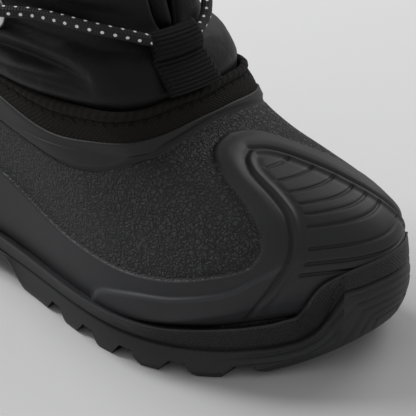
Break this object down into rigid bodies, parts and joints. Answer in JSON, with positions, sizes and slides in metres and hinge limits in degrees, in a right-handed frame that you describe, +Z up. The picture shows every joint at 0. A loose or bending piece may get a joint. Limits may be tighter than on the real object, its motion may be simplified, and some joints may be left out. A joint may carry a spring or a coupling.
{
  "type": "snow boot",
  "caption": "Right snow boot: black moulded rubber shell with ribbed toe cap, lugged cup outsole, padded nylon shaft with woven binding, and a dotted cord through a webbing strap at the ankle.",
  "frame": {"origin": "on the ground, under the middle of the boot's length and width", "axes": "+X to the toe, +Y to the inner (big toe) side of the right foot, +Z up the shaft"},
  "size_m": [0.2397, 0.0961, 0.213],
  "materials": {
    "sole_rubber": "matte",
    "shell_rubber": "matte, grained on the vamp",
    "nylon": "satin",
    "binding_weave": "matte",
    "webbing": "matte",
    "cord_braid": "matte with white dots",
    "ring_steel": "polished",
    "felt": "soft"
  },
  "bodies": {
    "root": {"outsole": "sole_rubber", "shell": "shell_rubber", "insole": "felt", "shaft": "nylon", "binding": "binding_weave", "tongue": "nylon", "front_strap": "webbing", "lace": "cord_braid", "outer_ring": "ring_steel", "outer_tab": "webbing", "inner_ring": "ring_steel", "inner_tab": "webbing"}
  },
  "joints": []
}
